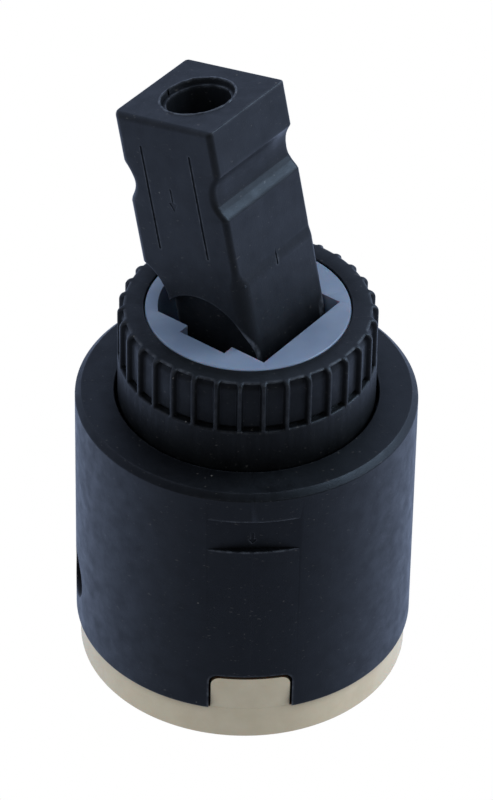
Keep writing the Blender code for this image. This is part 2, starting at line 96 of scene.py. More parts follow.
def arc(centre, radius, start, end, steps):
    """Points along an arc, both ends included, in degrees."""
    turns = [start + (end - start) * step / steps for step in range(steps + 1)]
    return [(centre[0] + x, centre[1] + y) for x, y in (polar(radius, turn) for turn in turns)]


def filleted(corners, steps=4):
    """A closed outline from (x, y, fillet radius) corners."""
    points = []
    count = len(corners)
    for index, (x, y, radius) in enumerate(corners):
        here = Vector((x, y))
        before = Vector(corners[index - 1][:2]) - here
        after = Vector(corners[(index + 1) % count][:2]) - here
        if radius <= 0:
            points.append((x, y))
            continue
        reach_before, reach_after = before.length, after.length
        before.normalize()
        after.normalize()
        half = before.angle(after) / 2
        setback = min(radius / tan(half), 0.48 * reach_before, 0.48 * reach_after)
        radius = setback * tan(half)
        centre = here + (before + after).normalized() * (radius / sin(half))
        first = here + before * setback - centre
        last = here + after * setback - centre
        sweep = atan2(first.x * last.y - first.y * last.x, first.dot(last))
        for step in range(steps + 1):
            turned = Matrix.Rotation(sweep * step / steps, 2) @ first
            points.append(tuple(centre + turned))
    return points


def kidney(angle, spread, inner, outer, steps=8):
    """A curved slot round the axis with square ends."""
    return (arc((0, 0), outer, angle - spread, angle + spread, steps)
            + arc((0, 0), inner, angle + spread, angle - spread, steps))


def key_outline(half_width, low, high, steps=8):
    inset = half_width - KEY_CORNER
    right = arc((inset, high - KEY_CORNER), KEY_CORNER, 0, 90, steps)
    left = arc((-inset, high - KEY_CORNER), KEY_CORNER, 90, 180, steps)
    return [(-half_width, low), (half_width, low)] + right + left


# ---------------------------------------------------------------- solids

def as_object(name, shape):
    """An object, still in millimetres, from a bmesh."""
    bmesh.ops.recalc_face_normals(shape, faces=shape.faces)
    mesh = bpy.data.meshes.new(name)
    shape.to_mesh(mesh)
    shape.free()
    made = bpy.data.objects.new(name, mesh)
    bpy.context.scene.collection.objects.link(made)
    return made


def skin(shape, rings, closed=False):
    """Quads between rings of the same number of vertices."""
    following = rings[1:] + rings[:1] if closed else rings[1:]
    for ring, after in zip(rings, following):
        for index in range(len(ring)):
            step = (index + 1) % len(ring)
            shape.faces.new((ring[index], ring[step], after[step], after[index]))


def lathe(name, profile, segments=192, extra=(), warp=None):
    """A turned solid from a closed (radius, height) outline, capped where it starts on the axis."""
    shape = bmesh.new()
    turns = sorted([360 * step / segments for step in range(segments)] + [turn % 360 for turn in extra])
    capped = profile[0][0] == 0
    rings = []
    for radius, height in profile:
        if radius == 0:
            continue
        ring = []
        for turn in turns:
            r, z = warp(radius, height, turn) if warp else (radius, height)
            ring.append(shape.verts.new((*polar(r, turn), z)))
        rings.append(ring)
    skin(shape, rings, closed=not capped)
    if capped:
        shape.faces.new(rings[0])
        shape.faces.new(rings[-1])
    return as_object(name, shape)


def prism(name, outline, low, high, axis="Z"):
    """A prism over an outline: upright over (x, y), or along Y over (x, z)."""
    shape = bmesh.new()
    if axis == "Z":
        rings = [[shape.verts.new((x, y, level)) for x, y in outline] for level in (low, high)]
    else:
        rings = [[shape.verts.new((x, level, z)) for x, z in outline] for level in (low, high)]
    skin(shape, rings)
    for ring in rings:
        shape.faces.new(ring)
    return as_object(name, shape)


def box(name, low, high):
    outline = [(low[0], low[1]), (high[0], low[1]), (high[0], high[1]), (low[0], high[1])]
    return prism(name, outline, low[2], high[2])


def moved(made, matrix):
    made.data.transform(matrix)
    return made


def along(made, start, direction):
    """Lay a solid that stands on the origin along a direction from a start point."""
    turn = Vector((0, 0, 1)).rotation_difference(Vector(direction)).to_matrix().to_4x4()
    return moved(made, Matrix.Translation(Vector(start)) @ turn)


def baked(made):
    """Apply the object's modifiers."""
    graph = bpy.context.evaluated_depsgraph_get()
    result = bpy.data.meshes.new_from_object(made.evaluated_get(graph))
    made.modifiers.clear()
    made.data = result
    return made


def boolean(made, tool, operation="DIFFERENCE"):
    """Cut or join with a tool, which is used up."""
    step = made.modifiers.new("boolean", "BOOLEAN")
    step.operation = operation
    step.solver = "EXACT"
    step.object = tool
    baked(made)
    bpy.data.objects.remove(tool)
    return made


def eased(made, width, angle=50.0, segments=2):
    """Round every edge sharper than the angle."""
    step = made.modifiers.new("bevel", "BEVEL")
    step.width = width
    step.segments = segments
    step.limit_method = "ANGLE"
    step.angle_limit = radians(angle)
    step.use_clamp_overlap = True
    step.loop_slide = False
    return baked(made)


def finish(made, place, finish_with, body, replaced=(), sharp=50):
    """Move a piece to its place, give it its material and its body."""
    made.data.transform(place)
    made.data.materials.clear()
    made.data.materials.append(finish_with)
    made.data.shade_smooth()
    made.data.set_sharp_from_angle(angle=radians(sharp))
    evened = made.modifiers.new("even", "WEIGHTED_NORMAL")
    evened.mode = "FACE_AREA_WITH_ANGLE"
    evened.weight = 80
    evened.keep_sharp = True
    baked(made)
    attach(made, body)
    for node in replaced:
        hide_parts(node)
    return made


# ---------------------------------------------------------------- materials

class Nodes:
    """A short way to write a material's node tree, with textures laid out in millimetres."""

    def __init__(self, name, colour):
        self.material = bpy.data.materials.new(name)
        self.material.use_nodes = True
        self.material.diffuse_color = (*colour, 1)
        self.tree = self.material.node_tree
        self.shader = self.tree.nodes["Principled BSDF"]
        place = self.tree.nodes.new("ShaderNodeTexCoord")
        scale = self.tree.nodes.new("ShaderNodeVectorMath")
        scale.operation = "SCALE"
        scale.inputs["Scale"].default_value = 1 / MM
        self.tree.links.new(place.outputs["Object"], scale.inputs[0])
        self.where = scale.outputs[0]

    def add(self, kind, inputs, **settings):
        node = self.tree.nodes.new(kind)
        for key, value in settings.items():
            setattr(node, key, value)
        for key, value in inputs.items():
            if isinstance(value, bpy.types.NodeSocket):
                self.tree.links.new(value, node.inputs[key])
            else:
                node.inputs[key].default_value = value
        return node

    def stretched(self, scale):
        return self.add("ShaderNodeMapping", {"Vector": self.where, "Scale": scale}).outputs[0]

    def noise(self, scale, detail=3.0, roughness=0.55, where=None, distortion=0.0):
        return self.add("ShaderNodeTexNoise", {
            "Vector": where or self.where, "Scale": scale, "Detail": detail,
            "Roughness": roughness, "Distortion": distortion}).outputs["Fac"]

    def ranged(self, value, low, high, to_low=0.0, to_high=1.0):
        return self.add("ShaderNodeMapRange", {
            "Value": value, "From Min": low, "From Max": high, "To Min": to_low, "To Max": to_high},
            clamp=True).outputs[0]

    def maths(self, operation, first, second):
        return self.add("ShaderNodeMath", {0: first, 1: second}, operation=operation).outputs[0]

    def mix(self, factor, first, second):
        node = self.add("ShaderNodeMix", {0: factor}, data_type="RGBA")
        for socket, value in ((node.inputs["A"], first), (node.inputs["B"], second)):
            colours = [item for item in node.inputs if item.name == socket.name and item.type == "RGBA"]
            for candidate in colours:
                if isinstance(value, bpy.types.NodeSocket):
                    self.tree.links.new(value, candidate)
                else:
                    candidate.default_value = (*value, 1)
        return [item for item in node.outputs if item.type == "RGBA"][0]

    def specks(self, scale, share, size):
        """Small scattered marks: 1 inside a mark, 0 outside."""
        cells = self.add("ShaderNodeTexVoronoi", {"Vector": self.where, "Scale": scale})
        chosen = self.ranged(self.add("ShaderNodeSeparateColor", {0: cells.outputs["Color"]}).outputs[0],
                             1 - share, 1 - share + 0.02)
        dot = self.ranged(cells.outputs["Distance"], size * 0.6, size, 1.0, 0.0)
        return self.maths("MULTIPLY", chosen, dot)

    def surface(self, colour=None, roughness=None, bump=None, strength=0.2, distance=0.02, **constants):
        if colour is not None:
            self.tree.links.new(colour, self.shader.inputs["Base Color"])
        if roughness is not None:
            self.tree.links.new(roughness, self.shader.inputs["Roughness"])
        if bump is not None:
            relief = self.add("ShaderNodeBump", {
                "Height": bump, "Strength": strength, "Distance": distance * MM})
            self.tree.links.new(relief.outputs[0], self.shader.inputs["Normal"])
        for key, value in constants.items():
            self.shader.inputs[key.replace("_", " ").title().replace("Ior", "IOR")].default_value = value
        return self.material


def black_plastic(name, dark, light, rough=(0.42, 0.56), specular=0.4, grain=9.0, relief=0.35, dust=0.08,
                  edge_highlight=0.3, edge_highlight_reach=0.25):
    """Moulded black plastic: mottled tone, fine grain, flow marks, specks, scuffs, a painted highlight on
    convex edges and painted shade on reflections in hollows.
    """
    made = Nodes(name, dark)
    cloud = made.noise(0.35, 4.0, 0.6, distortion=0.4)
    flow = made.noise(1.0, 3.0, 0.6, where=made.stretched((0.9, 0.9, 0.16)))
    tone = made.mix(made.ranged(made.maths("ADD", cloud, flow), 0.75, 1.25), dark, light)
    grey = tuple(0.22 + 0.5 * channel for channel in light)
    dotted = made.mix(made.maths("MULTIPLY", made.specks(1.1, dust, 0.085), 0.4), tone, grey)
    scuff = made.maths("MULTIPLY", made.ranged(made.noise(2.6, 2.0, 0.5, where=made.stretched((1, 1, 2.6))),
                                               0.69, 0.74), 0.16)
    # Painted highlight: convex edges, found by ambient occlusion from inside, are lightened in patches
    # towards a pale blue-grey.
    depth = made.add("ShaderNodeAmbientOcclusion", {"Distance": edge_highlight_reach * MM}, inside=True,
                     only_local=True, samples=AO_SAMPLES).outputs["AO"]
    patchy = made.ranged(made.noise(1.6, 3.0, 0.65), 0.4, 0.62, 0.2, 1.0)
    edges = made.maths("MULTIPLY", made.ranged(depth, 0.45, 0.9, edge_highlight, 0.0), patchy)
    colour = made.mix(edges, made.mix(scuff, dotted, grey), (0.24, 0.29, 0.38))
    fine = made.noise(grain, 3.0, 0.7)
    shine = made.ranged(made.noise(0.8, 3.0, 0.6), 0.3, 0.7, *rough)
    # Painted shade on reflections: the specular level falls to a twentieth in hollows and recesses, read from
    # ambient occlusion over 4 mm.
    recess_shade = made.add("ShaderNodeAmbientOcclusion", {"Distance": 4 * MM}, samples=AO_SAMPLES).outputs["AO"]
    made.tree.links.new(made.ranged(recess_shade, 0.25, 0.75, 0.05 * specular, specular),
                        made.shader.inputs["Specular IOR Level"])
    height = made.maths("ADD", fine, made.maths("MULTIPLY", flow, 0.5))
    return made.surface(colour, shine, height, relief, 0.03)


def beige_plastic(name, front, shade):
    made = Nodes(name, front)
    cloud = made.noise(0.5, 4.0, 0.6)
    tone = made.mix(made.ranged(cloud, 0.35, 0.65), front, shade)
    spotted = made.mix(made.maths("MULTIPLY", made.specks(0.9, 0.06, 0.08), 0.5), tone, (0.22, 0.18, 0.12))
    # Painted shade: the colour darkens towards dark brown where other surfaces are within 0.9 mm, as in the
    # gap above the key tab.
    recess_shade = made.add("ShaderNodeAmbientOcclusion", {"Distance": 0.9 * MM}, samples=AO_SAMPLES).outputs["AO"]
    colour = made.mix(made.ranged(recess_shade, 0.55, 0.93, 0.95, 0.0), spotted, (0.06, 0.03, 0.012))
    fine = made.noise(7.0, 3.0, 0.65)
    return made.surface(colour, made.ranged(fine, 0.3, 0.7, 0.46, 0.6), fine, 0.18, 0.02,
                        subsurface_weight=0.12, subsurface_scale=0.8 * MM)


def acetal(name, clear, dense):
    made = Nodes(name, clear)
    cloud = made.noise(0.3, 3.0, 0.5)
    colour = made.mix(made.ranged(cloud, 0.35, 0.65), clear, dense)
    fine = made.noise(5.0, 2.0, 0.6)
    return made.surface(colour, made.ranged(fine, 0.3, 0.7, 0.3, 0.42), fine, 0.08, 0.02,
                        subsurface_weight=0.35, subsurface_scale=1.2 * MM)


def rubber(name):
    made = Nodes(name, (0.012, 0.012, 0.013))
    fine = made.noise(6.0, 4.0, 0.7)
    colour = made.mix(fine, (0.008, 0.008, 0.009), (0.024, 0.024, 0.025))
    return made.surface(colour, made.ranged(fine, 0.3, 0.7, 0.55, 0.75), fine, 0.3, 0.02)


def ceramic(name):
    made = Nodes(name, (0.8, 0.77, 0.7))
    cloud = made.noise(0.8, 3.0, 0.5)
    fine = made.noise(9.0, 2.0, 0.5)
    colour = made.mix(made.ranged(cloud, 0.35, 0.65), (0.84, 0.81, 0.75), (0.74, 0.7, 0.62))
    return made.surface(colour, made.ranged(fine, 0.3, 0.7, 0.12, 0.22), fine, 0.03, 0.01)


def white_plastic(name):
    made = Nodes(name, (0.78, 0.78, 0.75))
    cloud = made.noise(1.2, 3.0, 0.5)
    colour = made.mix(made.ranged(cloud, 0.35, 0.65), (0.8, 0.8, 0.78), (0.7, 0.7, 0.66))
    return made.surface(colour, made.ranged(cloud, 0.3, 0.7, 0.35, 0.5), made.noise(8.0), 0.1, 0.02)


def steel(name):
    made = Nodes(name, (0.5, 0.51, 0.54))
    lay = made.noise(14.0, 3.0, 0.6, where=made.stretched((1, 1, 0.15)))
    colour = made.mix(lay, (0.42, 0.43, 0.45), (0.62, 0.63, 0.65))
    return made.surface(colour, made.ranged(lay, 0.3, 0.7, 0.22, 0.36), lay, 0.08, 0.01, metallic=1.0)


HOUSING_BLACK = black_plastic("housing_plastic", (0.0012, 0.0016, 0.0024), (0.0026, 0.0033, 0.0046),
                              edge_highlight=0.26, edge_highlight_reach=0.2)
COLLAR_BLACK = black_plastic("collar_plastic", (0.0016, 0.002, 0.0026), (0.004, 0.005, 0.0062), (0.44, 0.58),
                             edge_highlight=0.2, edge_highlight_reach=0.24)
LEVER_BLACK = black_plastic("lever_plastic", (0.004, 0.0052, 0.0072), (0.0078, 0.0096, 0.013),
                            (0.38, 0.52), 0.31)
BEIGE = beige_plastic("base_plastic", (0.54, 0.495, 0.39), (0.5, 0.45, 0.345))
PALE = acetal("rotor_acetal", (0.17, 0.235, 0.355), (0.135, 0.19, 0.3))


# ---------------------------------------------------------------- housing and base

def make_housing():
    under = 21.3
    bore_low, bore_high, step = 11.35, 10.7, 8.7
    profile = filleted([
        (bore_low, BASE_BAND, 0.1), (BODY_RADIUS, BASE_BAND, 0.1), (BODY_RADIUS, SHOULDER_TOP - 0.42, 0.16),
        (BODY_RADIUS - 0.45, SHOULDER_TOP, 0.06), (MOUTH_RADIUS, SHOULDER_TOP, 0.13),
        (MOUTH_RADIUS, under, 0.1),
        (bore_high, under, 0.2), (bore_high, step + 0.4, 0), (bore_low, step, 0)])

    def warp(radius, height, turn):
        """A parting line down both sides and a ragged flash along the top edge's chamfer."""
        for line in (PARTING_YAW, PARTING_YAW + 180):
            if abs((turn - line + 180) % 360 - 180) < 0.06 and radius > BODY_RADIUS - 0.05:
                radius -= 0.022
        if radius > BODY_RADIUS - 0.6 and height > SHOULDER_TOP - 0.06:
            ragged = noise.noise(Vector((*polar(9, turn), 3.0)))
            height += 0.028 * max(0.0, ragged)
        return radius, height

    lines = [PARTING_YAW + base + offset for base in (0, 180) for offset in (-0.22, 0.0, 0.22)]
    shell = lathe("housing_shell", profile, 240, lines, warp)
    notch = key_outline(KEY_WIDTH / 2 + NOTCH_SIDE_GAP, BASE_BAND - 1, KEY_TOP + NOTCH_TOP_GAP)
    notch = prism("notch", notch, -2, 2, "Y")
    boolean(shell, moved(notch, FRONT @ Matrix.Translation((0, -BODY_RADIUS, 0))))
    for turn in (WINDOW_YAW, WINDOW_YAW + 180):
        flared = lathe("window", [
            (0, 0), (WINDOW_RADIUS, 0), (WINDOW_RADIUS, 2.35), (WINDOW_RADIUS + 0.1, 2.6),
            (WINDOW_RADIUS + 0.42, 2.95), (WINDOW_RADIUS + 0.42, 4), (0, 4)], 64)
        direction = (*polar(1, turn), 0)
        boolean(shell, along(flared, (*polar(9.8, turn), WINDOW_HEIGHT), direction))
    flat = sqrt(BODY_RADIUS ** 2 - (FACET_WIDTH / 2) ** 2)
    facet = box("facet", (-FACET_WIDTH, -BODY_RADIUS - 1, FACET_LOW), (FACET_WIDTH, -flat, FACET_HIGH))
    boolean(shell, moved(facet, FRONT))
    boolean(shell, prism("rib", kidney(90, 10, bore_high - 0.75, bore_high + 0.4), 15.8, 17.8), "UNION")
    eased(shell, 0.05)
    mark = prism("mark", filleted([
        (-0.1, 0.5, 0.03), (-0.1, -0.1, 0.03), (-0.34, -0.1, 0.05), (0, -0.55, 0.05), (0.34, -0.1, 0.05),
        (0.1, -0.1, 0.03), (0.1, 0.5, 0.03)], 2), -0.2, 0.05, "Y")
    boolean(shell, moved(mark, FRONT @ Matrix.Translation((-0.05, -flat, 18.9))))
    finish(shell, BODY_FRAME, HOUSING_BLACK, "housing", ["housing"])


def make_base():
    spigot, rim_radius, rim_top = 11.2, 10.45, 8.3
    bottom, ledge = BASE_UNDERSIDE, BASE_BAND - 0.1
    body = lathe("base_body", [(0, bottom)] + filleted([
        (0.5, bottom, 0), (BASE_RADIUS, bottom, 0.16), (BASE_RADIUS, ledge, 0.05), (spigot, ledge, 0.05),
        (spigot, rim_top, 0.15), (rim_radius, rim_top, 0.1), (rim_radius, DECK, 0.1),
        (0.5, DECK, 0)]) + [(0, DECK)], 240)
    low_radius, high_radius = BASE_RADIUS - 0.012, BODY_RADIUS - 0.04
    key = prism("key", key_outline(KEY_WIDTH / 2, BASE_BAND - 0.8, KEY_TOP), -13.3, -10.5, "Y")
    trim = lathe("trim", [(9.5, 0.5), (low_radius, 0.5), (low_radius, ledge),
                          (high_radius, KEY_TOP - 0.8), (high_radius, 9), (9.5, 9)], 240)
    boolean(body, moved(boolean(key, trim, "INTERSECT"), FRONT), "UNION")
    for turn in (WINDOW_YAW, WINDOW_YAW + 180):
        nose = lathe("nose", [(0, 0), (1.55, 0), (1.55, 1.1), (1.35, 1.3), (0, 1.3)], 48)
        boolean(body, along(nose, (*polar(10.6, turn), WINDOW_HEIGHT), (*polar(1, turn), 0)), "UNION")
    for turn in (0, 180):
        lug = prism("lug", kidney(turn, 6, rim_radius - 0.85, rim_radius + 0.3), DECK - 0.3, rim_top - 0.1)
        boolean(body, lug, "UNION")
    for turn, radius in ((-30, 1.45), (-150, 1.45), (90, 1.05)):
        peg = lathe("peg", [(0, -PEG_LENGTH)] + arc((radius - 0.3, 0.3 - PEG_LENGTH), 0.3, -90, 0, 4)
                    + [(radius, 0.3), (0, 0.3)], 48)
        boolean(body, moved(peg, Matrix.Translation((*polar(9.2, turn), 0))), "UNION")
    for turn in PORT_ANGLES.values():
        bore = lathe("bore", [
            (0, -1), (POCKET_RADIUS + 0.15, -1), (POCKET_RADIUS + 0.15, 0), (POCKET_RADIUS, 0.15),
            (POCKET_RADIUS, POCKET_DEPTH), (PORT_RADIUS + 0.2, POCKET_DEPTH),
            (PORT_RADIUS, POCKET_DEPTH + 0.2), (PORT_RADIUS, DECK - POCKET_DEPTH),
            (POCKET_RADIUS, DECK - POCKET_DEPTH), (POCKET_RADIUS, DECK + 1), (0, DECK + 1)], 72)
        boolean(body, moved(bore, Matrix.Translation((*polar(PORT_CIRCLE, turn), 0))))
    gate = lathe("gate", [(0, -0.05), (0.9, -0.05), (1.05, -0.3), (0, -0.3)], 48)
    boolean(body, gate)
    eased(body, 0.06)
    finish(body, BODY_FRAME, BEIGE, "housing", ["base"])


def make_lower_seals():
    inner, outer, low, high = 2.55, 3.75, -0.35, POCKET_DEPTH - 0.07
    middle = (inner + outer) / 2
    profile = filleted([(inner, low + 0.35, 0.1), (middle - 0.3, low, 0.12), (middle + 0.3, low, 0.12),
                        (outer, low + 0.35, 0.1), (outer, high - 0.35, 0.1), (middle, high, 0.3),
                        (inner, high - 0.35, 0.1)])
    for place, turn in PORT_ANGLES.items():
        ring = moved(lathe("seal_" + place, profile, 72), Matrix.Translation((*polar(PORT_CIRCLE, turn), 0)))
        finish(ring, BODY_FRAME, RUBBER, "housing", ["lower_seal_" + place])


# ---------------------------------------------------------------- rotor group

def make_rotor():
    low, high = 15.6, 20.5
    flange, groove, ring_height = 10.45, 0.6, 19.2
    floor, below, above = 9.42, ring_height - groove, ring_height + groove
    body = lathe("rotor_body", [(0, low)] + filleted([
        (0.5, low, 0), (flange, low, 0.15), (flange, below, 0.08), (floor, below, 0.08), (floor, above, 0.08),
        (flange, above, 0.08), (flange, high, 0.15), (BOSS_RADIUS, high, 0.05),
        (BOSS_RADIUS, ROTOR_TOP, 0.16), (0.5, ROTOR_TOP, 0)]) + [(0, ROTOR_TOP)], 192)
    boolean(body, prism("relief", kidney(180, 62.5, 9.75, flange + 1, 48), low - 1, 18.0))
    for side in (-1, 1):
        edges = sorted((side * 8.0, side * 9.5))
        boolean(body, box("rail", (-4.3, edges[0], 13.4), (4.3, edges[1], low + 0.4)), "UNION")
    half, front, round_side = 4.5, 4.85, 6.5
    sweep = degrees(asin(half / round_side))
    outline = [(front, -half), (front, half)] + arc((0, 0), round_side, 180 - sweep, 180 + sweep, 16)
    boolean(body, prism("slot", outline, 24.0, ROTOR_TOP + 1))
    boolean(body, box("throat", (-front, -half, 18.5), (front, half, 24.2)))
    boolean(body, box("pocket", (-4.1, -half, low - 1), (6.7, half, 18.9)))
    boolean(body, box("keyway", (-2.0, -half - 0.9, 26.9), (2.0, half + 0.9, ROTOR_TOP + 1)))
    bore = lathe("pin_bore", [(0, 0), (PIN_BORE, 0), (PIN_BORE, 18), (0, 18)], 48)
    boolean(body, along(bore, (0, -9, PIVOT_HEIGHT), (0, 1, 0)))
    eased(body, 0.07)
    finish(body, ROTOR_FRAME, PALE, "rotor", ["rotor"])


def make_collar():
    """The fluted collar: each level has a ridge radius and a flute radius, blended round the pitch."""
    low, high = 20.7, 30.55
    bore = BOSS_RADIUS + 0.07
    edge = 0.58
    full = COLLAR_RADIUS
    ridge_dome = arc((full - edge, high - edge), edge, 90, 0, 9)
    flute_dome = [(full - edge - 0.04, high), (8.8, high - 0.005), (8.84, high - 0.02), (8.89, high - 0.04),
                  (8.94, high - 0.08), (8.96, high - 0.12), (8.93, high - 0.16), (8.86, high - 0.2),
                  (8.83, high - 0.25), (8.83, high - 0.32)]
    levels = [((bore, low), (bore, low)), ((full - 0.12, low), (full - 0.12, low)),
              ((full - 0.03, low + 0.03), (full - 0.03, low + 0.03)),
              ((full, low + 0.12), (full, low + 0.12)),
              ((full, 24.0), (full, 24.0)), ((full, FLUTE_LEDGE - 0.16), (full, FLUTE_LEDGE - 0.16)),
              ((full, FLUTE_LEDGE - 0.08), (full - 0.02, FLUTE_LEDGE - 0.07)),
              ((full, FLUTE_LEDGE), (full - 0.08, FLUTE_LEDGE - 0.02)),
              ((full, FLUTE_LEDGE + 0.04), (full - 0.2, FLUTE_LEDGE)),
              ((full, FLUTE_LEDGE + 0.08), (8.92, FLUTE_LEDGE + 0.02)),
              ((full, FLUTE_LEDGE + 0.14), (8.87, FLUTE_LEDGE + 0.06)),
              ((full, FLUTE_LEDGE + 0.2), (8.9, FLUTE_LEDGE + 0.14)),
              ((full, FLUTE_LEDGE + 0.28), (8.98, FLUTE_LEDGE + 0.22)),
              ((full, FLUTE_LEDGE + 0.4), (FLUTE_FLOOR, FLUTE_LEDGE + 0.36)),
              ((full, 28.5), (FLUTE_FLOOR, 28.5)), ((full, 29.6), (FLUTE_FLOOR, 29.75)),
              ((full, 29.85), (8.96, 30.05))]
    levels += list(zip(reversed(ridge_dome), reversed(flute_dome)))
    levels += [((bore + 0.08, high), (bore + 0.08, high)), ((bore, high - 0.08), (bore, high - 0.08))]
    pitch = 360 / FLUTE_COUNT
    offsets = (0.0, 0.45, 0.75, 0.95, 1.15, 1.35, 1.55, 1.8, 2.1, 2.5, 3.3, 4.3)
    turns = []
    around = {0.0, pitch / 2} | {side * value % pitch for value in offsets[1:] for side in (1, -1)}
    for index in range(FLUTE_COUNT):
        for offset in sorted(around):
            turns.append((FLUTE_TURN + index * pitch + offset, min(offset, pitch - offset)))
    shape = bmesh.new()
    rings = []
    for ridge, flute in levels:
        ring = []
        for turn, away in turns:
            share = smooth((away - 0.5) / 1.3)
            radius = ridge[0] + (flute[0] - ridge[0]) * share
            height = ridge[1] + (flute[1] - ridge[1]) * share
            ring.append(shape.verts.new((*polar(radius, turn), height)))
        rings.append(ring)
    skin(shape, rings, closed=True)
    finish(as_object("collar_fluted", shape), ROTOR_FRAME, COLLAR_BLACK, "rotor",
           ["fluted_collar"])


# ---------------------------------------------------------------- lever group

STEP_DOWN, STEP_OUT, STEP_HALF = 12.1, 0.18, 0.5
DRAFT = 0.05
FRONT_GROOVE = ((3.5, 0.0), (3.58, 0.03), (3.7, 0.12), (3.85, 0.24), (4.05, 0.38), (4.3, 0.52), (4.6, 0.64),
                (5.0, 0.73), (5.5, 0.77), (5.8, 0.75), (6.07, 0.69), (6.5, 0.44), (6.85, 0.15), (6.98, 0.06),
                (7.1, 0.0))
BACK_GROOVE = ((3.8, 0.0), (4.0, 0.07), (4.25, 0.23), (4.6, 0.4), (4.9, 0.52), (5.25, 0.62), (5.6, 0.65),
               (5.85, 0.62), (6.1, 0.54), (6.4, 0.4), (6.7, 0.22), (6.9, 0.09), (7.15, 0.0))
COVE_CENTRE, COVE_RADIUS = (-6.5, 6.5), 3.8
FOOT, FOOT_REACH = -2.6, 2.7


def along_table(table, position):
    """A value read between the rows of a table; 0 outside it."""
    for (start, low), (end, high) in zip(table, table[1:]):
        if start <= position <= end:
            return low + (high - low) * (position - start) / (end - start)
    return 0.0


def lever_sides(height):
    """Reach of the grooved sides at a height above the pivot: towards the tilt, and away from it."""
    drop = LEVER_TOP - height
    plain = LEVER_WIDTH / 2 + DRAFT * min(drop / STEP_DOWN, 1.0)
    block = LEVER_WIDTH / 2 + DRAFT + STEP_OUT
    if height < 1.0:
        front = block - (1.0 - height) * (block - FOOT_REACH) / (1.0 - FOOT)
    else:
        step = smooth((drop - STEP_DOWN + STEP_HALF) / (2 * STEP_HALF))
        front = plain - along_table(FRONT_GROOVE, drop) + STEP_OUT * step
    back = plain - along_table(BACK_GROOVE, drop)
    cove_top = COVE_CENTRE[1] + sqrt(COVE_RADIUS ** 2 - (COVE_CENTRE[0] + plain) ** 2)
    if height < cove_top:
        rise = max(height - COVE_CENTRE[1], 0.0)
        back = -COVE_CENTRE[0] - sqrt(COVE_RADIUS ** 2 - rise ** 2)
    return front, back


